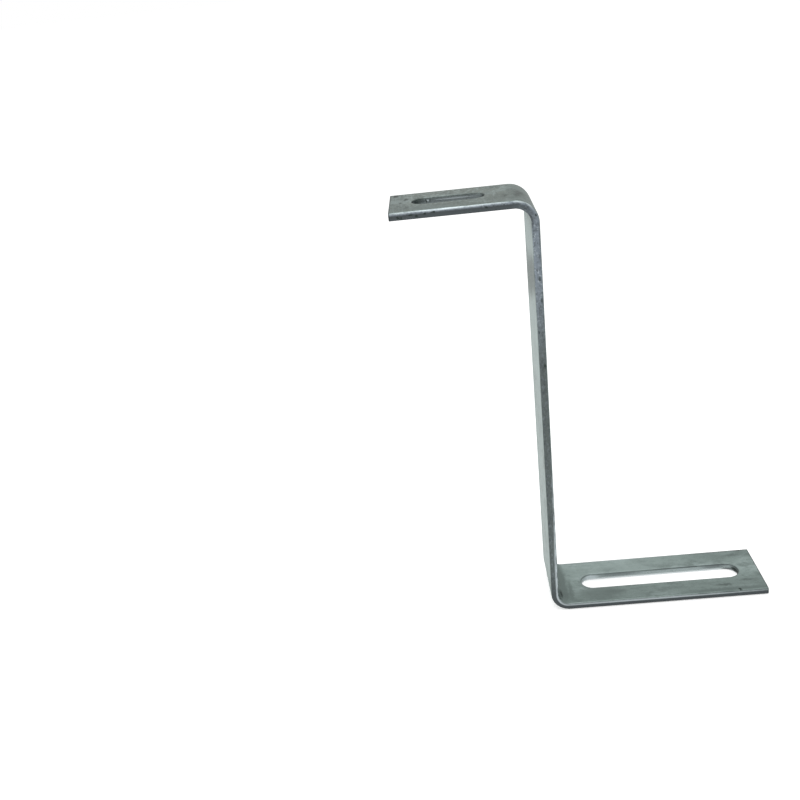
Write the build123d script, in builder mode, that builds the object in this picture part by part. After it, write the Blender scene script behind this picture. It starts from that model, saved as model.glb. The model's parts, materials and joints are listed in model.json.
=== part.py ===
# Z-shaped angle bracket, cold bent from one piece of galvanised flat bar.
#
# Millimetres, +Z up. The foot runs along +Y and the top flange along -Y, so the Z is
# seen from the side along X. The origin is the middle of the foot's slot, on the plane
# of the foot's underside, where the axis of a bolt through the slot would pass.

from build123d import *

import os
from math import atan, degrees, pi, sin

os.makedirs("parts", exist_ok=True)

# The flat bar
bar_width = 40.0
bar_thickness = 4.0
edge_radius = 1.2  # rolled long edges

# The Z, measured over its outer faces
overall_height = 230.0
foot_length = 118.0  # from the leg's outer face to the foot's free end
top_length = 70.0  # from the leg's other face to the top flange's free end

# The cold bends: the bar's edge swells on the inside of a bend, where the metal is
# squeezed, and draws in on the outside, where it is stretched
top_bend_radius = 7.5  # on the inside of the bend
foot_bend_radius = 6.0
edge_swell = 0.8  # on each edge, at the middle of a bend
edge_draw = 0.4
bend_stations = 4  # steps round a bend in which the section changes

# The slots, punched from the side that becomes the upper face of both flanges. Each
# runs from a little past the bend to a little short of the free end
slot_width = 13.0
foot_slot_bend_gap = 9.0  # flat metal between the bend and the slot
foot_slot_end_gap = 11.0  # metal between the slot and the free end
top_slot_bend_gap = 12.5
top_slot_end_gap = 11.0
punch_roll = 0.5  # rounded rim where the punch went in
punch_land = 2.4  # depth, from the upper face, of the wall that the punch left straight
slug_break = 0.25  # how far each side of the slot widens below that, where the slug tore out

# The cropped ends
end_break = 0.4  # sharp edges taken off

# Places worked out from the sizes above
top_flat_length = top_length - top_bend_radius - bar_thickness
foot_flat_length = foot_length - foot_bend_radius - bar_thickness
foot_slot_length = foot_flat_length - foot_slot_bend_gap - foot_slot_end_gap
top_slot_length = top_flat_length - top_slot_bend_gap - top_slot_end_gap
foot_end_y = foot_slot_length / 2 + foot_slot_end_gap
leg_outer_y = foot_end_y - foot_length
leg_middle_y = leg_outer_y + bar_thickness / 2
top_end_y = leg_outer_y + bar_thickness - top_length
top_slot_y = top_end_y + top_slot_end_gap + top_slot_length / 2
foot_middle_z = bar_thickness / 2
top_middle_z = overall_height - bar_thickness / 2


def section_across(run, share, upper_width=bar_width, lower_width=bar_width):
    """The bar's section, upper side up, at a share of the length of one run of its middle line.

    It is a rounded bar, which in a bend is wider on its inner side.
    """
    with BuildSketch(Plane(run @ share, x_dir=(-1, 0, 0), z_dir=run % share)) as section:
        with BuildLine():
            Polyline(
                (-lower_width / 2, -bar_thickness / 2),
                (lower_width / 2, -bar_thickness / 2),
                (upper_width / 2, bar_thickness / 2),
                (-upper_width / 2, bar_thickness / 2),
                close=True,
            )
        make_face()
        fillet(section.vertices(), edge_radius)
    return section.sketch


def bend_sections(run, upper_side_inside):
    """The sections round a bend, from plain bar through the swollen middle to plain bar."""
    sections = []
    for station in range(bend_stations + 1):
        share = station / bend_stations
        fullness = sin(pi * share) ** 2
        inside_width = bar_width + 2 * edge_swell * fullness
        outside_width = bar_width - 2 * edge_draw * fullness
        widths = (inside_width, outside_width)
        if not upper_side_inside:
            widths = (outside_width, inside_width)
        sections.append(section_across(run, share, *widths))
    return sections


def slot_outline(centre_y, z, length):
    """One slot's outline, lying along Y at a height."""
    with BuildSketch(Plane.XY.offset(z)) as outline:
        with Locations((0, centre_y)):
            SlotOverall(length, slot_width, rotation=90)
    return outline.sketch


# The middle line of the bar, from the top flange's free end to the foot's
with BuildLine(Plane.YZ) as middle_line:
    FilletPolyline(
        (top_end_y, top_middle_z),
        (leg_middle_y, top_middle_z),
        (leg_middle_y, foot_middle_z),
        (foot_end_y, foot_middle_z),
        radius=[inner_radius + bar_thickness / 2 for inner_radius in (top_bend_radius, foot_bend_radius)],
    )
top_run, top_bend, leg_run, foot_bend, foot_run = middle_line.wire().order_edges()

with BuildPart() as bracket:
    # The three flat lengths of the bar
    for run in (top_run, leg_run, foot_run):
        sweep(sections=section_across(run, 0), path=run)

    # The two bends, opposite ways
    sweep(sections=bend_sections(top_bend, False), path=top_bend, multisection=True)
    sweep(sections=bend_sections(foot_bend, True), path=foot_bend, multisection=True)

    # Edges broken round both cropped ends
    ends = bracket.faces().filter_by(Axis.Y).sort_by(Axis.Y)
    fillet(ends[0].edges() + ends[-1].edges(), end_break)

    # The slots: the straight wall with its rounded rim, then the torn part below it
    torn_depth = bar_thickness - punch_land
    torn_taper = -degrees(atan(slug_break / torn_depth))
    slots = ((0, bar_thickness, foot_slot_length), (top_slot_y, overall_height, top_slot_length))
    for slot_y, face_z, length in slots:
        extrude(slot_outline(slot_y, face_z, length), amount=-punch_land, mode=Mode.SUBTRACT)
        rim = bracket.edges(Select.LAST).group_by(Axis.Z)[-1]
        torn_outline = slot_outline(slot_y, face_z - punch_land, length)
        extrude(torn_outline, amount=-torn_depth, taper=torn_taper, mode=Mode.SUBTRACT)
        fillet(rim, punch_roll)

bracket.part.label = "bracket"
export_step(bracket.part, "parts/bracket.step")
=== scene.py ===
import json
import math
from functools import partial
from typing import NamedTuple

import bmesh
import bpy
from bpy.props import FloatProperty, FloatVectorProperty, IntProperty, PointerProperty
from mathutils import Matrix, Vector


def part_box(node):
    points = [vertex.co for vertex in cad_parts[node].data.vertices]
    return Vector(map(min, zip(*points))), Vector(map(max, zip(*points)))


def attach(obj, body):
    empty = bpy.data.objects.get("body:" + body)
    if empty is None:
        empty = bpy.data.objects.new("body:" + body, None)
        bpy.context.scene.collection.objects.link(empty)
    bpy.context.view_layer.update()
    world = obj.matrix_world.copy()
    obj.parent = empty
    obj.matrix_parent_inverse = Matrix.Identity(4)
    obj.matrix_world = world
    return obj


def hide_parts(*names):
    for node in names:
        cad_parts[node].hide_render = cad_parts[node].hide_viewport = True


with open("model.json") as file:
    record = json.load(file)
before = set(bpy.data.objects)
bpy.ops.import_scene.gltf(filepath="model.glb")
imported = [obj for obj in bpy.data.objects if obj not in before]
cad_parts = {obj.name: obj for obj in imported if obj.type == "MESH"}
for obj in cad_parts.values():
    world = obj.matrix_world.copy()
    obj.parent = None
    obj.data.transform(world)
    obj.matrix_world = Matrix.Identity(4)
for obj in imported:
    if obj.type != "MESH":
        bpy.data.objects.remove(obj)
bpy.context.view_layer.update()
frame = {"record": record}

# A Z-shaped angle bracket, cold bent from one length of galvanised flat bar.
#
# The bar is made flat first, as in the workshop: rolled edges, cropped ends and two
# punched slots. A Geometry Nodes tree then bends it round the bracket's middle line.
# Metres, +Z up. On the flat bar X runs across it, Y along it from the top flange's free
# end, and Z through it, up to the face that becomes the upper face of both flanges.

bl_info = {
    "name": "Galvanised Z Bracket",
    "version": (1, 0, 0),
    "blender": (4, 5, 0),
    "location": "3D View > Sidebar > Bracket",
    "description": "Presses a slotted Z bracket from galvanised flat bar and lights it",
    "category": "Add Mesh",
}

MM = 0.001
LOW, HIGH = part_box("bracket")
MOUNTS = {mount["name"]: mount for mount in frame["record"]["mounts"]}

# Names of the attributes that the bar carries into its material
ON_BAR = "on_bar"  # where a point lay on the flat bar: across, along, through
SLOT_GAP = "slot_gap"  # how far a point is from the nearest slot's wall, negative inside it
BEND = "bend"  # 1 in the middle of a bend, 0 on the flats


def flat_z(name):
    """The height of one of the flat faces."""
    return MOUNTS[name]["pos_m"][2]


def linear_colour(code):
    """An sRGB hex colour as linear red, green and blue."""
    shares = [int(code[i : i + 2], 16) / 255 for i in (1, 3, 5)]
    return [c / 12.92 if c <= 0.04045 else ((c + 0.055) / 1.055) ** 2.4 for c in shares]


def length_property(name, default, description):
    """A length in metres, with what it means."""
    return FloatProperty(
        name=name, default=default, min=0.0, precision=5, unit="LENGTH", description=description
    )


def colour_property(name, code, description):
    """A colour, given as sRGB hex."""
    return FloatVectorProperty(
        name=name,
        default=linear_colour(code),
        min=0.0,
        max=1.0,
        subtype="COLOR",
        description=description,
    )


class BracketSizes(bpy.types.PropertyGroup):
    """The bar, its bends and its slots."""

    bar_width: length_property("Bar Width", 40 * MM, "Width of the flat bar")
    bar_thickness: length_property(
        "Bar Thickness", flat_z("foot_upper_face") - flat_z("foot_underside"), "Thickness of the bar"
    )
    edge_radius: length_property("Edge Radius", 1.2 * MM, "Rounding of the rolled long edges")
    foot_length: length_property(
        "Foot Length", 118 * MM, "From the leg's outer face to the foot's free end"
    )
    top_bend_radius: length_property("Top Bend Radius", 7.5 * MM, "Inner radius of the top bend")
    foot_bend_radius: length_property("Foot Bend Radius", 6 * MM, "Inner radius of the foot bend")
    edge_swell: length_property(
        "Edge Swell", 0.387 * MM, "How far each rounded edge swells on the inside of a bend"
    )
    edge_draw: length_property(
        "Edge Draw", 0.093 * MM, "How far each rounded edge draws in on the outside of a bend"
    )
    end_break: length_property("End Break", 0.4 * MM, "Rounding of the cropped ends")
    punch_roll: length_property("Punch Roll", 0.5 * MM, "Rounded rim where the punch went in")
    punch_land: length_property("Punch Land", 2.4 * MM, "Depth of the straight part of a slot's wall")
    slug_break: length_property(
        "Slug Break", 0.25 * MM, "How far a slot widens each way where the slug tore out"
    )
    tear_depth: length_property(
        "Tear Depth", 0.15 * MM, "Depth of the grooves in the torn part of a slot's wall"
    )
    tear_spacing: length_property("Tear Spacing", 0.9 * MM, "Rough distance between two grooves")
    nick_depth: length_property("Nick Depth", 0.16 * MM, "Depth of the nicks in the long edges")
    nick_spacing: length_property("Nick Spacing", 3.2 * MM, "Rough distance between two nicks")
    nick_seed: IntProperty(name="Nick Seed", default=7, description="Which pattern of nicks is used")


class BracketFinish(bpy.types.PropertyGroup):
    """The colours of the galvanised bar, and the painted shade and highlights laid over it."""

    zinc: colour_property("Zinc", "#869490", "The zinc's plain grey")
    # Also painted light: the bar's lower side, the leg's lit side, is made paler
    zinc_pale: colour_property("Pale Zinc", "#a2b0ae", "Paler clouds in the zinc")
    # Also painted shade: a band across the leg's lower side, and the foot's near corner darkened
    zinc_dull: colour_property("Dull Zinc", "#646f6c", "Where the zinc has dulled")
    zinc_bronze: colour_property("Bronzed Zinc", "#757b74", "The top flange's browner zinc")
    # Painted shade: the long edges are made darker all over
    edge_grey: colour_property("Edge", "#565d5c", "The long edges of the leg's lower half and the foot")
    # Painted sheen: the edges paler near the top bend; also paler flecks on all edges
    edge_pale: colour_property("Pale Edge", "#788189", "The long edges near the top bend")
    # Painted shade: low on the flanges' edges, at the leg's upper corner, inside the top bend, and on
    # the slots' rims and walls
    film: colour_property("Film", "#454a4c", "The dark film low on the edges and on the slots' rims")
    # Painted highlights: on the edges' upper corners and on the slots' walls
    bright: colour_property("Bright Metal", "#c6d0d4", "Where a corner is rubbed bright")
    wall: colour_property("Slot Wall", "#98a3a3", "The wall that the punch left")
    # Partly painted light: torn bare metal, painted near white as a reflection of the lit floor
    torn: colour_property("Torn Wall", "#e8edef", "Bare metal where the foot slot's slug tore out")
    # Also painted shade: at the ends of the slots and along the cropped ends
    dirt: colour_property("Dirt", "#2b3330", "Oil and dirt in marks and pits")


class BracketStage(bpy.types.PropertyGroup):
    """The camera, the floor and the lights."""

    camera_place: FloatVectorProperty(
        name="Camera",
        default=(0.4687, -0.1046, 0.3320),
        subtype="TRANSLATION",
        description="Where the camera stands",
    )
    camera_aim: FloatVectorProperty(
        name="Aim",
        default=(0.0, -0.1347, 0.1268),
        subtype="TRANSLATION",
        description="The point that the camera looks at",
    )
    camera_roll: FloatProperty(
        name="Roll",
        default=math.radians(-6.70),
        subtype="ANGLE",
        description="Turn of the camera about its line of sight",
    )
    focal_length: FloatProperty(
        name="Focal Length",
        default=43.92,
        subtype="DISTANCE_CAMERA",
        description="Focal length on a sensor 36 mm wide",
    )
    floor_size: length_property("Floor Size", 60.0, "Width and depth of the floor")
    floor_colour: colour_property("Floor", "#f2f2f2", "The floor's colour")


class Pattern(NamedTuple):
    """Noise on the bar: the size of its features and how clearly they stand out."""

    size: float  # mm across the bar
    stretch: float  # times longer along the bar
    detail: float
    start: float  # the noise value at which the pattern begins to show
    full: float  # and the one at which it shows fully


class Layer(NamedTuple):
    """One of the finish's colours over a region of the bar, in a pattern or plain."""

    colour: str
    region: str
    strength: float
    pattern: Pattern = None


# From the zinc up: each layer lies over those before it
LAYERS = (
    Layer("zinc_bronze", "top flange", 0.75),
    # The lower side painted paler, as the side that the light falls on
    Layer("zinc_pale", "lower side", 0.75),
    Layer("zinc_pale", "everywhere", 0.75, Pattern(13, 2.0, 3.0, 0.46, 0.70)),
    Layer("zinc_dull", "everywhere", 0.75, Pattern(7, 1.6, 4.0, 0.48, 0.72)),
    Layer("zinc_dull", "everywhere", 0.50, Pattern(2.4, 1.5, 4.0, 0.46, 0.76)),
    Layer("zinc_pale", "top flange", 0.60, Pattern(3, 0.6, 4.0, 0.45, 0.66)),
    Layer("zinc_dull", "top flange", 0.50, Pattern(1.9, 1.4, 4.0, 0.49, 0.62)),
    Layer("zinc_pale", "top end", 0.60, Pattern(8, 0.15, 3.0, 0.45, 0.62)),
    Layer("zinc_dull", "everywhere", 0.30, Pattern(0.7, 24.0, 3.0, 0.50, 0.72)),
    Layer("zinc_pale", "everywhere", 0.40, Pattern(0.8, 1.0, 5.0, 0.52, 0.75)),
    Layer("dirt", "everywhere", 0.30, Pattern(5, 1.8, 5.0, 0.58, 0.78)),
    Layer("zinc_dull", "right of the flanges", 0.38),
    Layer("zinc_pale", "left of the foot", 0.15),
    Layer("zinc_dull", "bends", 0.55, Pattern(3, 0.4, 3.0, 0.35, 0.65)),
    # Painted shade and highlights on the edges down to the slot rims: darker all over, paler near the
    # top bend, darker low on the flanges and at the leg's upper corner, bright on the upper corners,
    # dark along the rims
    Layer("edge_grey", "edges", 1.0),
    Layer("edge_pale", "edges", 0.4, Pattern(1.0, 2.0, 4.0, 0.50, 0.68)),
    Layer("edge_pale", "upper edges", 0.95),
    Layer("film", "edges", 0.75, Pattern(1.3, 1.6, 4.0, 0.46, 0.70)),
    Layer("bright", "upper edges", 0.42, Pattern(0.9, 1.3, 4.0, 0.52, 0.70)),
    Layer("film", "leg's upper corner", 0.65, Pattern(2.5, 3.0, 3.0, 0.35, 0.60)),
    Layer("film", "film", 0.95),
    Layer("bright", "rubbed corner", 0.95, Pattern(2.0, 3.0, 4.0, 0.28, 0.58)),
    Layer("film", "slot rims", 0.64),
    Layer("wall", "slot walls", 1.0),
    Layer("zinc_dull", "slot walls", 0.4, Pattern(0.5, 1.5, 3.0, 0.45, 0.65)),
    # Low on the foot slot's wall: torn bare metal with a painted reflection of the lit floor
    Layer("torn", "lit wall", 0.75),
    # Painted shade on the top slot's wall
    Layer("film", "top slot's wall", 0.75),
    # Painted shade along the arrises of the cropped ends
    Layer("dirt", "cropped ends", 0.80),
)

# Stains, pits and dull patches left by the press and by handling, and painted highlights,
# painted shade and a painted shadow. Each has a colour, the place of its middle on the flat bar
# and how far it reaches from there, both across, along and through the bar in mm, and a strength
MARKS = (
    # The top flange's face
    ("zinc_dull", (0, 4, 2), (30, 6, 1.5), 0.40),
    ("zinc_dull", (0, 62, 2), (22, 7, 1.5), 0.50),
    ("zinc_dull", (14.5, 19, 2), (5, 15, 1.5), 0.45),
    ("dirt", (1, 62, 2), (5, 2.4, 1.5), 0.50),
    ("dirt", (6.5, 60.5, 2), (4, 1.8, 1.5), 0.40),
    ("dirt", (5.9, 55, 2), (5, 1.8, 1.5), 0.40),
    ("dirt", (-16, 3.1, 2), (3.2, 1.3, 1.5), 0.90),
    ("dirt", (-6, 8.2, 2), (2.4, 1.4, 1.5), 0.85),
    ("dirt", (0.9, 5.3, 2), (2.2, 1.1, 1.5), 0.60),
    ("dirt", (7, 4.3, 2), (2, 0.8, 1.5), 0.40),
    ("dirt", (10.5, 8.8, 2), (3.5, 1.2, 1.5), 0.40),
    # Its edge
    ("dirt", (20, 4.4, -0.5), (1.5, 0.8, 0.8), 0.90),
    ("dirt", (20, 6, -0.9), (1.5, 0.7, 0.9), 0.95),
    ("dirt", (20, 10.5, 0.3), (1.5, 1.7, 0.5), 0.90),
    ("dirt", (20, 12.9, -0.5), (1.5, 0.7, 0.7), 0.95),
    ("dirt", (20, 17.2, 0.3), (1.5, 0.9, 0.6), 0.90),
    ("dirt", (20, 21.2, 0.7), (1.5, 0.9, 0.6), 0.90),
    ("dirt", (20, 46, 0.3), (1.5, 1.2, 0.6), 0.80),
    # Its slot's wall: painted shade at its shadowed end, a painted glint on a burr with dark
    # beside it, and a painted highlight along its middle
    ("dirt", (-5.5, 14, 0.8), (4, 3.6, 1.6), 0.55),
    ("bright", (-6.5, 18.8, 0.4), (1.5, 0.4, 0.5), 0.80),
    ("dirt", (-6.5, 17.8, 0.2), (1.5, 0.4, 1.4), 0.80),
    ("dirt", (-6.5, 20, 0.6), (1.5, 0.4, 1), 0.60),
    ("bright", (-6.5, 32, 0.4), (1.5, 12, 0.4), 0.40),
    # The leg's lower side: painted lighter where the light falls, with a band of painted shade across
    # it
    ("zinc_pale", (0, 85, -2), (60, 10, 0.2), 0.75),
    ("zinc_pale", (0, 138, -2), (60, 26, 0.2), 0.65),
    ("zinc_dull", (-20, 110.5, -2), (14, 12.5, 0.2), 0.85),
    ("zinc_dull", (-4, 105.5, -2), (14, 12.5, 0.2), 0.85),
    ("zinc_dull", (13, 100.3, -2), (14, 12, 0.2), 0.85),
    # The leg's edge, from the top bend down: painted shade inside the bend, dark spots, and a painted
    # highlight low on its corner
    ("film", (20, 71, -1.6), (1.5, 6, 0.8), 0.75),
    ("dirt", (20, 70.3, 0.9), (1.5, 0.8, 0.5), 0.85),
    ("dirt", (20, 100.5, 0.5), (1.5, 1.8, 0.6), 0.65),
    ("dirt", (20, 111.5, 0.9), (1.5, 1.8, 0.6), 0.75),
    ("dirt", (20, 145.3, 0.9), (1.5, 1.6, 0.7), 0.85),
    ("dirt", (20, 127.6, -1.2), (1.5, 1.2, 0.5), 0.60),
    ("bright", (20, 268, 0.95), (1.5, 28, 0.6), 0.40),
    # The foot beside its bend
    ("zinc_dull", (0, 291.8, 2), (26, 3.8, 1.5), 0.80),
    ("dirt", (11.8, 289, 2), (4, 1.3, 1.5), 0.80),
    ("zinc_dull", (8, 296.5, 2), (12, 1.3, 1.5), 0.60),
    # The foot's face and its far edge
    ("zinc_pale", (-10, 325, 2), (14, 30, 1.5), 0.25),
    ("zinc_dull", (-17, 388, 2), (8, 24, 1.5), 0.45),
    ("zinc_dull", (12.5, 314, 2), (9, 13, 1.5), 0.60),
    ("zinc_dull", (11.5, 321, 2), (2, 8, 1.5), 0.60),
    ("dirt", (13.4, 380.4, 2), (1.3, 5.5, 1.5), 0.42),
    ("dirt", (10.2, 393.2, 2), (1.3, 4, 1.5), 0.30),
    ("dirt", (-14.3, 392.4, 2), (1.6, 5, 1.5), 0.30),
    ("zinc_dull", (18, 383, 1.6), (2.4, 32, 1.5), 0.80),
    ("dirt", (19.5, 367, 1.4), (1.2, 4, 1), 0.60),
    ("dirt", (19.4, 381, 1.5), (1.2, 4.5, 1), 0.60),
    ("dirt", (-19.3, 386, 1.7), (0.9, 22, 0.9), 0.55),
    ("dirt", (-19.3, 397, 1.8), (1, 6.5, 0.9), 0.60),
    # Its near edge: painted shade over the corner, a painted highlight below it, and a dark spot
    ("zinc_dull", (19.2, 350, 2), (0.9, 90, 0.6), 0.75),
    ("bright", (20, 340, 1.05), (1.5, 75, 0.55), 0.48),
    ("dirt", (18.6, 387.4, 2), (1.2, 1.1, 1.5), 0.90),
    # Its slot's wall: a painted glint, painted shade, and a painted shadow at its end toward the foot's
    # free end
    ("bright", (-6.3, 309.5, 0), (2, 5, 1.6), 0.50),
    ("film", (-6.5, 326, 0.6), (1.5, 14, 1.3), 0.50),
    ("film", (-6.5, 380, 0.6), (1.5, 9, 1.3), 0.55),
    ("dirt", (-6, 387, -1.4), (2, 3.5, 0.9), 0.75),
    ("dirt", (-2, 390.8, -0.4), (6.5, 3.5, 2), 0.95),
)


def add_node(tree, kind, inputs=None, output=0, **settings):
    """Adds a node with its settings and its inputs, each a value or a socket to link.

    Returns the output of that place or name, or the node itself where output is None.
    """
    node = tree.nodes.new(kind)
    for name, value in settings.items():
        setattr(node, name, value)
    for key, value in (inputs or {}).items():
        if isinstance(value, bpy.types.NodeSocket):
            tree.links.new(value, node.inputs[key])
        else:
            node.inputs[key].default_value = value
    return node if output is None else node.outputs[output]


def emptied_tree(owner):
    """The node tree of a material or a world, with nothing in it."""
    owner.use_nodes = True
    owner.node_tree.nodes.clear()
    return owner.node_tree


def spaced(start, end, step):
    """Evenly spaced values from start to end, no more than about a step apart."""
    count = max(1, math.ceil((end - start) / step))
    return [start + (end - start) * i / count for i in range(count + 1)]


class FlatBar:
    """The bar before it is bent, built into one mesh."""

    ROW_STEP = 0.5 * MM
    COLUMN_STEP = 1.25 * MM
    WALL_STEP = 0.3 * MM
    CORNER_STEPS = 4  # round each rolled corner
    SIDE_STEPS = 3  # down the flat part of each edge
    END_STEPS = 3  # round a cropped end
    ROLL_STEPS = 4  # round a slot's rim
    RING_STEPS = 6  # from the plain grid to a slot's rim
    RING_EASE = 1.5  # over 1 brings the rings closer together near the slot
    MARGIN = 5.5 * MM  # of grid round a slot that is bent to its outline
    CREASE = 0.06 * MM  # narrow band that keeps a sharp corner sharp

    def __init__(self, sizes, length, slots):
        self.sizes = sizes
        self.length = length
        self.slots = slots
        self.grid = []
        self.mesh = bmesh.new()
        self.gap = self.mesh.verts.layers.float.new(SLOT_GAP)
        self.half_width = sizes.bar_width / 2
        self.half_thickness = sizes.bar_thickness / 2
        self.flat_half = self.half_width - sizes.edge_radius
        self.columns = spaced(-self.flat_half, self.flat_half, self.COLUMN_STEP)

    def point(self, across, along, through, gap=1.0):
        """A new vertex, with its distance from the nearest slot's wall."""
        vert = self.mesh.verts.new((across, along, through))
        vert[self.gap] = gap
        return vert

    def edge_profile(self, inset):
        """The right edge from its upper to its lower corner, its two ends left out."""
        radius = self.sizes.edge_radius - inset
        centre_z = self.half_thickness - self.sizes.edge_radius
        upper = [
            (self.flat_half + radius * math.sin(turn), centre_z + radius * math.cos(turn))
            for turn in spaced(0, math.pi / 2, math.pi / 2 / self.CORNER_STEPS)[1:]
        ]
        side = spaced(centre_z, -centre_z, 2 * centre_z / self.SIDE_STEPS)[1:-1]
        middle = [(self.half_width - inset, z) for z in side]
        lower = [(x, -z) for x, z in reversed(upper)]
        return upper + middle + lower

    def section(self, inset=0.0):
        """The bar's section, a closed loop from its upper face's left corner, clockwise."""
        top = self.half_thickness - inset
        edge = self.edge_profile(inset)
        upper_face = [(x, top) for x in self.columns]
        lower_face = [(-x, -top) for x in self.columns]
        left_edge = [(-x, -z) for x, z in edge]
        return upper_face + edge + lower_face + left_edge

    def slot_near(self, along):
        """The slot whose margin takes in a row of the bar, if there is one."""
        for slot in self.slots:
            if abs(along - slot["along"]) < slot["length"] / 2 + self.MARGIN:
                return slot
        return None

    def in_slot_window(self, across, along):
        """Whether a point lies within the part of the grid that a slot's rings take over."""
        slot = self.slot_near(along)
        return slot is not None and abs(across) < slot["width"] / 2 + self.MARGIN

    def rows(self):
        """The rows of the grid, from one end to the other, between the rounded ends."""
        end = self.sizes.end_break
        return spaced(end, self.length - end, self.ROW_STEP)

    def build(self):
        """Makes the whole bar and returns it as a mesh datablock."""
        self.make_skin()
        for slot in self.slots:
            self.make_slot(slot)
        self.mesh.normal_update()
        mesh = bpy.data.meshes.new("flat_bar")
        self.mesh.to_mesh(mesh)
        self.mesh.free()
        return mesh

    def make_skin(self):
        """The bar's faces, edges and cropped ends, open where the slots go."""
        section = self.section()
        for along in self.rows():
            row = []
            for across, through in section:
                inside = abs(through) == self.half_thickness and self.in_slot_window(across, along)
                row.append(None if inside else self.point(across, along, through))
            self.grid.append(row)
        for first, second in zip(self.grid, self.grid[1:]):
            self.join(first, second)
        self.close_end(self.grid[0], 0.0, 1)
        self.close_end(self.grid[-1], self.length, -1)

    def join(self, first, second):
        """Quads between two closed loops, in the order that makes them face outwards."""
        ahead = first[1:] + first[:1], second[1:] + second[:1]
        for corners in zip(first, ahead[0], ahead[1], second):
            if None not in corners:
                self.mesh.faces.new(corners)

    def close_end(self, loop, along, inward):
        """Rounds the arris of a cropped end and closes it."""
        end = self.sizes.end_break
        loops = [loop]
        for turn in spaced(0, math.pi / 2, math.pi / 2 / self.END_STEPS)[1:]:
            inset = end * (1 - math.cos(turn))
            place = along + inward * end * (1 - math.sin(turn))
            loops.append([self.point(x, place, z) for x, z in self.section(inset)])
        loops.append([self.point(x, along, z) for x, z in self.section(end + self.CREASE)])
        for outer, inner in zip(loops, loops[1:]):
            if inward > 0:
                self.join(inner, outer)
            else:
                self.join(outer, inner)
        self.mesh.faces.new(loops[-1] if inward < 0 else reversed(loops[-1]))

    def window_loop(self, slot, upper):
        """The vertices of the grid round a slot, in order, on the upper or the lower face."""
        window = slot["width"] / 2 + self.MARGIN
        columns = [i for i, x in enumerate(self.columns) if abs(x) < window]
        first, last = columns[0] - 1, columns[-1] + 1
        rows = [i for i, row in enumerate(self.rows()) if self.slot_near(row) is slot]
        start, stop = rows[0] - 1, rows[-1] + 1
        count = len(self.columns)
        lower_end = 2 * count + len(self.edge_profile(0.0)) - 1

        def at(row, column):
            return self.grid[row][column if upper else lower_end - column]

        loop = [at(start, c) for c in range(first, last)]
        loop += [at(r, last) for r in range(start, stop)]
        loop += [at(stop, c) for c in range(last, first, -1)]
        loop += [at(r, first) for r in range(stop, start, -1)]
        return loop

    def wall_profile(self):
        """The slot's wall from the upper face down: how far outside its outline, and how high."""
        roll = self.sizes.punch_roll
        top = self.half_thickness
        land = top - self.sizes.punch_land
        profile = [
            (roll * (1 - math.sin(turn)), top - roll * (1 - math.cos(turn)))
            for turn in spaced(0, math.pi / 2, math.pi / 2 / self.ROLL_STEPS)
        ]
        profile += [(0.0, z) for z in reversed(spaced(land, top - roll, self.WALL_STEP)[:-1])]
        for z in reversed(spaced(-top, land, self.WALL_STEP)[:-1]):
            profile.append((self.sizes.slug_break * (land - z) / (land + top), z))
        return profile

    def make_slot(self, slot):
        """The rings of quads that bend the grid to a slot's outline, and its wall."""
        upper = self.window_loop(slot, True)
        lower = self.window_loop(slot, False)
        radius = slot["width"] / 2
        reach = slot["length"] / 2 - radius
        wall = self.wall_profile()
        shares = spaced(0, 1, 1 / self.RING_STEPS)[1:]

        def spine(vert):
            """The nearest point of the slot's middle line, on which its outline is centred."""
            return Vector((0, slot["along"] + max(-reach, min(reach, vert.co.y - slot["along"]))))

        def loop_at(through, out, share=1.0):
            """A loop a share of the way from the window to a distance outside the outline."""
            closeness = 1 - (1 - share) ** self.RING_EASE
            loop = []
            for vert in upper:
                away = vert.co.xy - spine(vert)
                gap = away.length - radius
                gap += (out - gap) * closeness
                spot = spine(vert) + away.normalized() * (radius + gap)
                loop.append(self.point(spot.x, spot.y, through, gap))
            return loop

        for vert in upper + lower:
            vert[self.gap] = (vert.co.xy - spine(vert)).length - radius
        top, bottom = self.half_thickness, -self.half_thickness
        loops = [upper]
        loops += [loop_at(top, wall[0][0], share) for share in shares]
        loops += [loop_at(z, out) for out, z in wall[1:]]
        loops += [loop_at(bottom, wall[-1][0] + self.CREASE, share) for share in reversed(shares)]
        loops += [lower]
        for outer, inner in zip(loops, loops[1:]):
            self.join(outer, inner)


BEND_STEPS = 64  # of the middle line round each bend
PIT_EDGE, PIT_FLOOR = 0.30, 0.12  # spacings from a nick's middle where it starts and is deepest
WAVINESS = 0.5  # of the edges between the nicks, as a share of the nicks' depth
GROOVE_EDGE, GROOVE_FLOOR = 0.35, 0.65  # the noise at which a groove starts and is deepest
GROOVE_DRAW = (1.0, 1.0, 0.3)  # draws the grooves out through the bar


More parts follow.
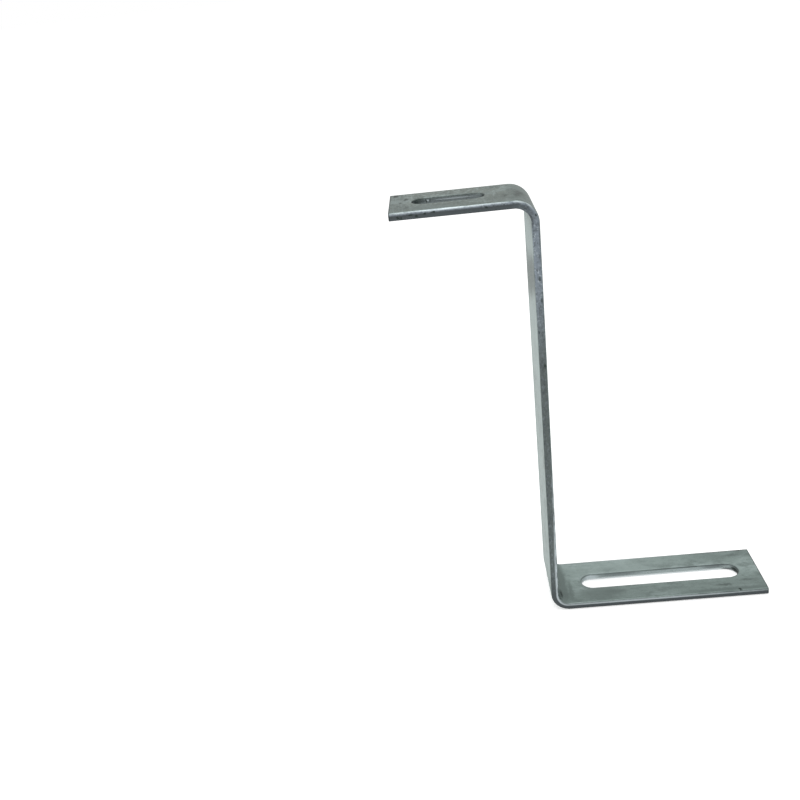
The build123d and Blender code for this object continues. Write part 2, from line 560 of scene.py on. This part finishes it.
def bending_tree(numbers, corners):
    """The tree that bends a flat bar round the bracket's middle line, edge nicks and all.

    It has an input for each of the numbers and for each corner of the middle line.
    """
    tree = bpy.data.node_groups.new("cold_bending", "GeometryNodeTree")
    face = tree.interface
    face.new_socket("Geometry", in_out="INPUT", socket_type="NodeSocketGeometry")
    for name in numbers:
        face.new_socket(name, in_out="INPUT", socket_type="NodeSocketFloat")
    for name in corners:
        face.new_socket(name, in_out="INPUT", socket_type="NodeSocketVector")
    face.new_socket("Material", in_out="INPUT", socket_type="NodeSocketMaterial")
    face.new_socket("Geometry", in_out="OUTPUT", socket_type="NodeSocketGeometry")
    add = partial(add_node, tree)
    given = add("NodeGroupInput", output=None).outputs

    # Where each point lies on the flat bar
    position = add("GeometryNodeInputPosition")
    across, along, through = add("ShaderNodeSeparateXYZ", {0: position}, output=None).outputs
    marked = add(
        "GeometryNodeStoreNamedAttribute",
        {"Geometry": given["Geometry"], "Name": ON_BAR, "Value": position},
        data_type="FLOAT_VECTOR",
    )

    # The bar's middle line, with both corners rounded
    corner = add("GeometryNodeIndexSwitch", output=None, data_type="VECTOR")
    rounding = add("GeometryNodeIndexSwitch", output=None, data_type="FLOAT")
    index = add("GeometryNodeInputIndex")
    for switch in (corner, rounding):
        while len(switch.index_switch_items) < len(corners):
            switch.index_switch_items.new()
        tree.links.new(index, switch.inputs["Index"])
    for i, name in enumerate(corners):
        tree.links.new(given[name], corner.inputs[str(i)])
    tree.links.new(given["Top Radius"], rounding.inputs["1"])
    tree.links.new(given["Foot Radius"], rounding.inputs["2"])
    points = add("GeometryNodeMeshLine", {"Count": len(corners)})
    placed = add("GeometryNodeSetPosition", {"Geometry": points, "Position": corner.outputs[0]})
    zigzag = add("GeometryNodeMeshToCurve", {"Mesh": placed})
    middle_line = add(
        "GeometryNodeFilletCurve",
        {"Curve": zigzag, "Count": BEND_STEPS, "Radius": rounding.outputs[0]},
        mode="POLY",
    )

    def fullness(start, radius):
        """How far into a bend a point is: 0 at both its ends, 1 in the middle."""
        length = add("ShaderNodeMath", {0: radius, 1: math.pi / 2}, operation="MULTIPLY")
        end = add("ShaderNodeMath", {0: start, 1: length}, operation="ADD")
        turn = add(
            "ShaderNodeMapRange",
            {"Value": along, "From Min": start, "From Max": end, "To Max": math.pi},
        )
        wave = add("ShaderNodeMath", {0: turn}, operation="SINE")
        return add("ShaderNodeMath", {0: wave, 1: wave}, operation="MULTIPLY")

    in_top = fullness(given["Top Bend Start"], given["Top Radius"])
    in_foot = fullness(given["Foot Bend Start"], given["Foot Radius"])
    strained = add(
        "GeometryNodeStoreNamedAttribute",
        {
            "Geometry": marked,
            "Name": BEND,
            "Value": add("ShaderNodeMath", {0: in_top, 1: in_foot}, operation="ADD"),
        },
        data_type="FLOAT",
    )

    # The bar widens on the inner side of a bend and narrows on the outer
    side_top = add(
        "ShaderNodeMath", {0: given["Half Thickness"], 1: given["Edge Radius"]}, operation="SUBTRACT"
    )
    side_bottom = add("ShaderNodeMath", {0: side_top, 1: -1.0}, operation="MULTIPLY")
    drawn = add("ShaderNodeMath", {0: given["Edge Draw"], 1: -1.0}, operation="MULTIPLY")
    swollen = given["Edge Swell"]
    grown = []
    for share, at_bottom, at_top in ((in_top, swollen, drawn), (in_foot, drawn, swollen)):
        width = add(
            "ShaderNodeMapRange",
            {
                "Value": through,
                "From Min": side_bottom,
                "From Max": side_top,
                "To Min": at_bottom,
                "To Max": at_top,
            },
        )
        grown.append(add("ShaderNodeMath", {0: width, 1: share}, operation="MULTIPLY"))
    growth = add("ShaderNodeMath", {0: grown[0], 1: grown[1]}, operation="ADD")
    stretch = add("ShaderNodeMath", {0: growth, 1: given["Half Width"]}, operation="DIVIDE")
    widened = add("ShaderNodeMath", {0: across, 1: stretch, 2: across}, operation="MULTIPLY_ADD")

    # Onto the middle line: across stays world X, through follows the bend
    spot = add(
        "GeometryNodeSampleCurve",
        {"Curves": middle_line, "Length": along},
        output=None,
        mode="LENGTH",
        use_all_curves=False,
    )
    outward = add(
        "ShaderNodeVectorMath",
        {0: (1.0, 0.0, 0.0), 1: spot.outputs["Tangent"]},
        operation="CROSS_PRODUCT",
    )
    unit = add("ShaderNodeVectorMath", {0: outward}, operation="NORMALIZE")
    offset = add("ShaderNodeVectorMath", {0: unit, "Scale": through}, operation="SCALE")
    sideways = add("ShaderNodeCombineXYZ", {"X": widened})
    lifted = add("ShaderNodeVectorMath", {0: spot.outputs["Position"], 1: offset}, operation="ADD")
    bent_place = add("ShaderNodeVectorMath", {0: lifted, 1: sideways}, operation="ADD")
    bent = add("GeometryNodeSetPosition", {"Geometry": strained, "Position": bent_place})

    # Nicks and flats in the rolled edges, pressed inwards only
    on_bar = add("GeometryNodeInputNamedAttribute", {"Name": ON_BAR}, data_type="FLOAT_VECTOR")
    bar_across, _, bar_through = add("ShaderNodeSeparateXYZ", {0: on_bar}, output=None).outputs
    reach = add("ShaderNodeMath", {0: bar_across}, operation="ABSOLUTE")
    flat_half = add(
        "ShaderNodeMath", {0: given["Half Width"], 1: given["Edge Radius"]}, operation="SUBTRACT"
    )
    on_edge = add(
        "ShaderNodeMapRange",
        {"Value": reach, "From Min": flat_half, "From Max": given["Half Width"]},
    )
    scale = add("ShaderNodeMath", {0: 1.0, 1: given["Nick Spacing"]}, operation="DIVIDE")
    pits = add(
        "ShaderNodeTexVoronoi",
        {"Vector": on_bar, "W": given["Nick Seed"], "Scale": scale},
        output="Distance",
        voronoi_dimensions="4D",
    )
    pit = add(
        "ShaderNodeMapRange",
        {"Value": pits, "From Min": PIT_EDGE, "From Max": PIT_FLOOR},
        interpolation_type="SMOOTHSTEP",
    )
    waves = add(
        "ShaderNodeTexNoise",
        {"Vector": on_bar, "W": given["Nick Seed"], "Scale": scale, "Detail": 3.0},
        noise_dimensions="4D",
    )
    press = add("ShaderNodeMath", {0: waves, 1: WAVINESS, 2: pit}, operation="MULTIPLY_ADD")
    edge_press = add("ShaderNodeMath", {0: press, 1: on_edge}, operation="MULTIPLY")
    nicked = add("ShaderNodeMath", {0: edge_press, 1: given["Nick Depth"]}, operation="MULTIPLY")

    # Grooves down the lower part of the slots' walls, where the slugs tore out
    gap = add("GeometryNodeInputNamedAttribute", {"Name": SLOT_GAP}, data_type="FLOAT")
    on_wall = add(
        "ShaderNodeMapRange",
        {"Value": gap, "From Min": given["Wall End"], "From Max": given["Wall Start"]},
    )
    tear_end = add("ShaderNodeMath", {0: given["Half Thickness"], 1: -1.0}, operation="MULTIPLY")
    torn = add(
        "ShaderNodeMapRange",
        {"Value": bar_through, "From Min": given["Tear Start"], "From Max": tear_end},
    )
    tear_scale = add("ShaderNodeMath", {0: 1.0, 1: given["Tear Spacing"]}, operation="DIVIDE")
    across_walls = add("ShaderNodeVectorMath", {0: on_bar, 1: GROOVE_DRAW}, operation="MULTIPLY")
    grooves = add(
        "ShaderNodeTexNoise",
        {"Vector": across_walls, "W": given["Nick Seed"], "Scale": tear_scale, "Detail": 2.0},
        noise_dimensions="4D",
    )
    groove = add(
        "ShaderNodeMapRange",
        {
            "Value": grooves,
            "From Min": GROOVE_EDGE,
            "From Max": GROOVE_FLOOR,
            "To Max": given["Tear Depth"],
        },
    )
    tear = add("ShaderNodeMath", {0: groove, 1: on_wall}, operation="MULTIPLY")
    depth = add("ShaderNodeMath", {0: tear, 1: torn, 2: nicked}, operation="MULTIPLY_ADD")
    inward = add("ShaderNodeMath", {0: depth, 1: -1.0}, operation="MULTIPLY")
    normal = add("GeometryNodeInputNormal")
    dent = add("ShaderNodeVectorMath", {0: normal, "Scale": inward}, operation="SCALE")
    worn = add("GeometryNodeSetPosition", {"Geometry": bent, "Offset": dent})

    smooth = add("GeometryNodeSetShadeSmooth", {"Geometry": worn})
    real = add("GeometryNodeRealizeInstances", {"Geometry": smooth})
    coated = add("GeometryNodeSetMaterial", {"Geometry": real, "Material": given["Material"]})
    add("NodeGroupOutput", {0: coated}, output=None)
    return tree


PATTERN_STEP = 7.3  # from the place in the noise of one pattern to that of the next


def shown_pattern(tree, bar, pattern, number):
    """How strongly a pattern shows at each point of the bar, each number in its own place."""
    add = partial(add_node, tree)
    scale = (1 / pattern.size, 1 / (pattern.size * pattern.stretch), 1 / pattern.size)
    place = [PATTERN_STEP * number] * 3
    scaled = add("ShaderNodeMapping", {"Vector": bar, "Scale": scale, "Location": place})
    noise = add(
        "ShaderNodeTexNoise",
        {"Vector": scaled, "Scale": 1.0, "Detail": pattern.detail, "Roughness": 0.6},
    )
    return add(
        "ShaderNodeMapRange",
        {"Value": noise, "From Min": pattern.start, "From Max": pattern.full},
        interpolation_type="SMOOTHSTEP",
    )


def strength_along(tree, along, stops):
    """A strength that goes from stop to stop along the bar, each a place in mm and a strength."""
    add = partial(add_node, tree)
    length = stops[-1][0]
    share = add("ShaderNodeMapRange", {"Value": along, "From Max": length})
    ramp = add("ShaderNodeValToRGB", {0: share}, output=None)
    elements = ramp.color_ramp.elements
    elements.remove(elements[1])
    elements[0].position = 0.0
    for place, _ in stops[1:]:
        elements.new(place / length)
    for element, (_, strength) in zip(elements, stops):
        element.color = (strength, strength, strength, 1.0)
    return ramp.outputs[0]


# How strongly a painted highlight lies on the upper corner of the edges: mm along the bar, strength
CORNER_HIGHLIGHT = (
    (0, 0.65), (12, 0.60), (25, 0.85), (40, 0.60), (53, 0.42),
    (58, 0.30), (61, 0.60), (63, 1.00), (65, 0.90), (67, 0.25),
    (80, 0.05), (195, 0.00), (240, 0.70), (268, 0.85), (284, 0.55),
    (292, 0.20), (306, 0.12), (358, 0.10), (370, 0.05), (402.5, 0.10),
)


def bar_regions(tree, bar, sizes, length):
    """The regions that the layers name, each 1 inside, 0 outside and smooth at its border."""
    add = partial(add_node, tree)
    across, along, through = add("ShaderNodeSeparateXYZ", {0: bar}, output=None).outputs
    gap = add("ShaderNodeAttribute", output="Fac", attribute_name=SLOT_GAP)
    slot_gap = add("ShaderNodeMath", {0: gap, 1: 1 / MM}, operation="MULTIPLY")
    reach = add("ShaderNodeMath", {0: across}, operation="ABSOLUTE")
    flat_half = (sizes.bar_width / 2 - sizes.edge_radius) / MM
    top = sizes.bar_thickness / 2 / MM
    leg_start, leg_end = 73, 282  # along the bar
    # Each border: what is measured, where the region starts and where it is full
    borders = {
        "outside": (reach, flat_half + 0.15, flat_half + 0.7),
        "below the face": (through, top - 0.1, top - 0.5),
        "corner outside": (reach, flat_half + 0.25, flat_half + 0.65),
        "corner above": (through, top - 1.15, top - 0.6),
        "edge's lower side": (through, top - 0.9, top - 1.8),
        "right half": (across, 2, 12),
        "left half": (across, -2, -12),
        "top flange": (along, leg_start + 7, leg_start - 18),
        "top end": (along, 20, 6),
        "past the top bend": (along, leg_start - 8, leg_start + 4),
        "upper half": (along, 150, 95),
        "foot": (along, leg_end - 20, leg_end + 8),
        "near a slot": (slot_gap, 0.45, 0.15),
        "below the rim": (through, top - 0.6, top - 1.3),
        "low on the wall": (through, top - 2.6, top - 3.8),
        "lower side": (through, 0.8 - top, 0.2 - top),
        "near top end": (along, 0.8, 0.3),
        "near foot end": (along, length - 0.8, length - 0.3),
    }
    inside = {
        name: add(
            "ShaderNodeMapRange",
            {"Value": value, "From Min": start, "From Max": full},
            interpolation_type="SMOOTHSTEP",
        )
        for name, (value, start, full) in borders.items()
    }
    joined = {
        "flanges": ("top flange", "foot"),
        "cropped ends": ("near top end", "near foot end"),
    }
    for name, (first, second) in joined.items():
        inside[name] = add(
            "ShaderNodeMath", {0: inside[first], 1: inside[second]}, operation="MAXIMUM"
        )
    inside["rubbed length"] = strength_along(tree, along, CORNER_HIGHLIGHT)
    inside["bends"] = add("ShaderNodeAttribute", output="Fac", attribute_name=BEND)
    inside["everywhere"] = None
    # Each crossing of two or more regions
    crossings = {
        "edges": ("outside", "below the face"),
        "upper edges": ("edges", "upper half"),
        "leg's upper corner": ("corner outside", "corner above", "past the top bend", "upper half"),
        "film": ("edges", "edge's lower side", "flanges"),
        "rubbed corner": ("corner outside", "corner above", "rubbed length"),
        "right of the flanges": ("right half", "flanges"),
        "left of the foot": ("left half", "foot"),
        "slot rims": ("near a slot",),
        "slot walls": ("near a slot", "below the rim"),
        "lit wall": ("near a slot", "low on the wall", "foot"),
        "top slot's wall": ("slot walls", "top flange"),
    }
    for name, (first, *others) in crossings.items():
        inside[name] = inside[first]
        for other in others:
            inside[name] = add(
                "ShaderNodeMath", {0: inside[name], 1: inside[other]}, operation="MULTIPLY"
            )
    return inside


# Where a mark starts to show and where it is full, as shares of its reach
MARK_EDGE, MARK_FULL = 1.2, 0.4
RAGGED = 3.0  # mm that the marks' borders wander over

# The coating's grain and the strip's rolling lines. The real ones are a few times finer,
# and wouldn't show. Their numbers are past those of the layers
GRAIN = Pattern(0.8, 1.0, 5.0, 0.3, 0.7)
ROLLING = Pattern(0.55, 26.0, 4.0, 0.3, 0.7)
GRAIN_NUMBER, ROLLING_NUMBER = 31, 32
ROLLING_SHARE = 0.6  # of the rolling lines in the relief, to 1 of grain
SMOOTHEST, ROUGHEST = 0.38, 0.50  # roughness of the satin zinc


def zinc_coated_steel(sizes, finish, length):
    """Zinc coated mild steel strip, cut to length, punched and bent after coating.

    The thin zinc is a satin grey with a faint green tint, clouded where it has dulled, and
    it shows the rolling marks of the strip below it. The long edges are painted darker as
    shade, with painted highlights on their upper corners and painted shade below them, and
    the bar's lower side is painted paler where the light falls on it.
    """
    material = bpy.data.materials.new("zinc_coated_steel")
    tree = emptied_tree(material)
    add = partial(add_node, tree)

    # Millimetres on the flat bar: across, along, through
    on_bar = add("ShaderNodeAttribute", output="Vector", attribute_name=ON_BAR)
    bar = add("ShaderNodeVectorMath", {0: on_bar, "Scale": 1 / MM}, operation="SCALE")
    regions = bar_regions(tree, bar, sizes, length / MM)

    def laid_over(surface, colour, share):
        """The surface with one of the finish's colours over it."""
        over = [*getattr(finish, colour), 1.0]
        return add("ShaderNodeMix", {0: share, 6: surface, 7: over}, output=2, data_type="RGBA")

    surface = [*finish.zinc, 1.0]
    for number, layer in enumerate(LAYERS):
        share = regions[layer.region]
        if layer.pattern:
            shown = shown_pattern(tree, bar, layer.pattern, number)
            if share is None:
                share = shown
            else:
                share = add("ShaderNodeMath", {0: share, 1: shown}, operation="MULTIPLY")
        share = add("ShaderNodeMath", {0: share, 1: layer.strength}, operation="MULTIPLY")
        surface = laid_over(surface, layer.colour, share)

    # The marks have ragged borders
    warp = add("ShaderNodeTexNoise", {"Vector": bar, "Scale": 0.6, "Detail": 4.0}, output="Color")
    wander = (RAGGED, RAGGED, 0.0)
    ragged = add("ShaderNodeVectorMath", {0: warp, 1: wander, 2: bar}, operation="MULTIPLY_ADD")
    for colour, place, reach, strength in MARKS:
        middle = [position + span / 2 for position, span in zip(place, wander)]
        away = add("ShaderNodeVectorMath", {0: ragged, 1: middle}, operation="SUBTRACT")
        apart = add("ShaderNodeVectorMath", {0: away, 1: reach}, operation="DIVIDE")
        distance = add("ShaderNodeVectorMath", {0: apart}, output="Value", operation="LENGTH")
        share = add(
            "ShaderNodeMapRange",
            {"Value": distance, "From Min": MARK_EDGE, "From Max": MARK_FULL, "To Max": strength},
            interpolation_type="SMOOTHSTEP",
        )
        surface = laid_over(surface, colour, share)

    grain = shown_pattern(tree, bar, GRAIN, GRAIN_NUMBER)
    rolling = shown_pattern(tree, bar, ROLLING, ROLLING_NUMBER)
    rough = add("ShaderNodeMapRange", {"Value": grain, "To Min": SMOOTHEST, "To Max": ROUGHEST})
    relief = add("ShaderNodeMath", {0: rolling, 1: ROLLING_SHARE, 2: grain}, operation="MULTIPLY_ADD")
    bump = add("ShaderNodeBump", {"Height": relief, "Strength": 0.35, "Distance": 0.04 * MM})
    metal = add(
        "ShaderNodeBsdfPrincipled",
        {
            "Base Color": surface,
            "Metallic": 1.0,
            "Roughness": rough,
            "Normal": bump,
            "Specular Tint": (0.7, 0.7, 0.7, 1.0),
        },
    )
    add("ShaderNodeOutputMaterial", {"Surface": metal}, output=None)
    return material


FLOOR_DROP = 0.05 * MM  # keeps the floor out of the plane of the foot's underside
FLOOR_GLOW = 0.42  # what the lit floor lacks to look white
SKY_LIGHT, WHITE = 0.7, 1.0  # the world's strength as light, and as it is seen


def seen_plainly(tree):
    """1 for camera, glossy and transmission rays, and 0 for the rays that light the object."""
    add = partial(add_node, tree)
    rays = add("ShaderNodeLightPath", output=None).outputs
    seen = rays["Is Camera Ray"]
    for kind in ("Is Glossy Ray", "Is Transmission Ray"):
        seen = add("ShaderNodeMath", {0: seen, 1: rays[kind]}, operation="MAXIMUM")
    return seen


def matt_white_board(colour):
    """Matt white painted board: plain, and as white as the backdrop to the camera and in gloss."""
    material = bpy.data.materials.new("matt_white_board")
    tree = emptied_tree(material)
    add = partial(add_node, tree)
    board = add("ShaderNodeBsdfDiffuse", {"Color": [*colour, 1.0]})
    strength = add("ShaderNodeMapRange", {"Value": seen_plainly(tree), "To Max": FLOOR_GLOW})
    glow = add("ShaderNodeEmission", {"Color": (1.0, 1.0, 1.0, 1.0), "Strength": strength})
    both = add("ShaderNodeAddShader", {0: board, 1: glow})
    add("ShaderNodeOutputMaterial", {"Surface": both}, output=None)
    return material


class BRACKET_OT_press_bar(bpy.types.Operator):
    """Press the slotted flat bar and bend it twice into the bracket"""

    bl_idname = "bracket.press_bar"
    bl_label = "Press Bracket"

    def execute(self, context):
        sizes = context.scene.bracket_sizes
        half_thickness = sizes.bar_thickness / 2
        top_radius = sizes.top_bend_radius + half_thickness
        foot_radius = sizes.foot_bend_radius + half_thickness
        leg_y = HIGH.y - sizes.foot_length + half_thickness
        top_z = HIGH.z - half_thickness
        foot_z = LOW.z + half_thickness
        # The bar's middle line, at first with square corners
        corners = {
            "Top End": Vector((0, LOW.y, top_z)),
            "Top Corner": Vector((0, leg_y, top_z)),
            "Foot Corner": Vector((0, leg_y, foot_z)),
            "Foot End": Vector((0, HIGH.y, foot_z)),
        }
        places = list(corners.values())
        square_length = sum((b - a).length for a, b in zip(places, places[1:]))
        # A rounded corner is a quarter turn long, where a square one is two radii
        quarter_turn = math.pi / 2
        length = square_length - (2 - quarter_turn) * (top_radius + foot_radius)
        slots = [
            self.slot("top_slot", MOUNTS["top_slot"]["pos_m"][1] - LOW.y),
            self.slot("foot_slot", length - (HIGH.y - MOUNTS["foot_slot"]["pos_m"][1])),
        ]
        bar = bpy.data.objects.new("flat_bar", FlatBar(sizes, length, slots).build())
        context.scene.collection.objects.link(bar)
        foot_run = HIGH.y - leg_y - foot_radius
        numbers = {
            "Half Width": sizes.bar_width / 2,
            "Half Thickness": half_thickness,
            "Edge Radius": sizes.edge_radius,
            "Top Radius": top_radius,
            "Foot Radius": foot_radius,
            "Top Bend Start": leg_y - LOW.y - top_radius,
            "Foot Bend Start": length - foot_run - foot_radius * quarter_turn,
            "Edge Swell": sizes.edge_swell,
            "Edge Draw": sizes.edge_draw,
            "Nick Depth": sizes.nick_depth,
            "Nick Spacing": sizes.nick_spacing,
            "Nick Seed": float(sizes.nick_seed),
            "Wall Start": sizes.slug_break,
            "Wall End": sizes.slug_break + FlatBar.CREASE,
            "Tear Start": half_thickness - sizes.punch_land,
            "Tear Depth": sizes.tear_depth,
            "Tear Spacing": sizes.tear_spacing,
        }
        finish = zinc_coated_steel(sizes, context.scene.bracket_finish, length)
        values = {**numbers, **corners, "Material": finish}
        modifier = bar.modifiers.new("Cold bending", "NODES")
        modifier.node_group = bending_tree(numbers, corners)
        for item in modifier.node_group.interface.items_tree:
            if item.in_out == "INPUT" and item.name in values:
                modifier[item.identifier] = values[item.name]
        bracket = self.finished(context, bar, "bent_bar")
        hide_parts("bracket")
        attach(bracket, "root")
        return {"FINISHED"}

    @staticmethod
    def slot(name, along):
        """One slot's size, and where its middle is along the flat bar."""
        dims = MOUNTS[name]["dims"]
        length, radius = dims["slot_length_mm"] * MM, dims["hole_r_mm"] * MM
        return {"along": along, "length": length, "width": 2 * radius}

    @staticmethod
    def finished(context, source, name):
        """The evaluated object as a plain mesh, in place of its source."""
        graph = context.evaluated_depsgraph_get()
        mesh = bpy.data.meshes.new_from_object(source.evaluated_get(graph), depsgraph=graph)
        mesh.name = name
        source.modifiers.clear()
        bpy.data.objects.remove(source)
        piece = bpy.data.objects.new(name, mesh)
        context.scene.collection.objects.link(piece)
        return piece


class BRACKET_OT_set_stage(bpy.types.Operator):
    """Lay the white floor and set the lights and the camera"""

    bl_idname = "bracket.set_stage"
    bl_label = "Set Stage"

    def execute(self, context):
        stage = context.scene.bracket_stage
        self.floor(context, stage)
        self.backdrop(context)
        self.light(context, "overhead", place=(0.1, -0.05, 1.3), width=1.2, power=6.3)
        self.light(context, "left", place=(0.5, -1.3, 0.7), width=1.0, power=3.8)
        self.camera(context, stage)
        context.scene.view_settings.view_transform = "Standard"
        return {"FINISHED"}

    @staticmethod
    def floor(context, stage):
        mesh = bpy.data.meshes.new("floor")
        half = stage.floor_size / 2
        level = LOW.z - FLOOR_DROP
        square = ((-half, -half), (half, -half), (half, half), (-half, half))
        corners = [(x, y, level) for x, y in square]
        mesh.from_pydata(corners, [], [(0, 1, 2, 3)])
        mesh.materials.append(matt_white_board(stage.floor_colour))
        floor = bpy.data.objects.new("floor", mesh)
        context.scene.collection.objects.link(floor)

    @staticmethod
    def backdrop(context):
        """White to the eye and in reflections, and a plain level of light otherwise."""
        context.scene.world = bpy.data.worlds.new("white_backdrop")
        tree = emptied_tree(context.scene.world)
        add = partial(add_node, tree)
        seen = seen_plainly(tree)
        strength = add("ShaderNodeMapRange", {"Value": seen, "To Min": SKY_LIGHT, "To Max": WHITE})
        sky = add("ShaderNodeBackground", {"Color": (1.0, 1.0, 1.0, 1.0), "Strength": strength})
        add("ShaderNodeOutputWorld", {"Surface": sky}, output=None)

    @staticmethod
    def light(context, name, place, width, power):
        """A square soft light, aimed at the middle of the bracket."""
        lamp = bpy.data.lights.new(name, "AREA")
        lamp.shape = "SQUARE"
        lamp.size = width
        lamp.energy = power
        holder = bpy.data.objects.new(name, lamp)
        aim = (LOW + HIGH) / 2 - Vector(place)
        turn = aim.to_track_quat("-Z", "Y").to_matrix().to_4x4()
        holder.matrix_world = Matrix.Translation(place) @ turn
        context.scene.collection.objects.link(holder)

    @staticmethod
    def camera(context, stage):
        lens = bpy.data.cameras.new("camera")
        lens.sensor_width = 36.0
        lens.lens = stage.focal_length
        lens.clip_start = 0.01
        camera = bpy.data.objects.new("camera", lens)
        place = Vector(stage.camera_place)
        sight = (Vector(stage.camera_aim) - place).to_track_quat("-Z", "Y").to_matrix().to_4x4()
        roll = Matrix.Rotation(stage.camera_roll, 4, "Z")
        camera.matrix_world = Matrix.Translation(place) @ sight @ roll
        context.scene.collection.objects.link(camera)
        context.scene.camera = camera


class BRACKET_PT_panel(bpy.types.Panel):
    """The bracket's sizes, colours and stage"""

    bl_label = "Galvanised Z Bracket"
    bl_idname = "BRACKET_PT_panel"
    bl_space_type = "VIEW_3D"
    bl_region_type = "UI"
    bl_category = "Bracket"

    def draw(self, context):
        scene = context.scene
        for group in (scene.bracket_sizes, scene.bracket_finish, scene.bracket_stage):
            box = self.layout.box()
            for name in type(group).__annotations__:
                box.prop(group, name)
        for operator in (BRACKET_OT_press_bar, BRACKET_OT_set_stage):
            self.layout.operator(operator.bl_idname)


CLASSES = (
    BracketSizes,
    BracketFinish,
    BracketStage,
    BRACKET_OT_press_bar,
    BRACKET_OT_set_stage,
    BRACKET_PT_panel,
)


def register():
    for cls in CLASSES:
        bpy.utils.register_class(cls)
    bpy.types.Scene.bracket_sizes = PointerProperty(type=BracketSizes)
    bpy.types.Scene.bracket_finish = PointerProperty(type=BracketFinish)
    bpy.types.Scene.bracket_stage = PointerProperty(type=BracketStage)


def unregister():
    del bpy.types.Scene.bracket_stage
    del bpy.types.Scene.bracket_finish
    del bpy.types.Scene.bracket_sizes
    for cls in reversed(CLASSES):
        bpy.utils.unregister_class(cls)


def main():
    register()
    bpy.ops.bracket.press_bar()
    bpy.ops.bracket.set_stage()


if __name__ == "__main__":
    main()
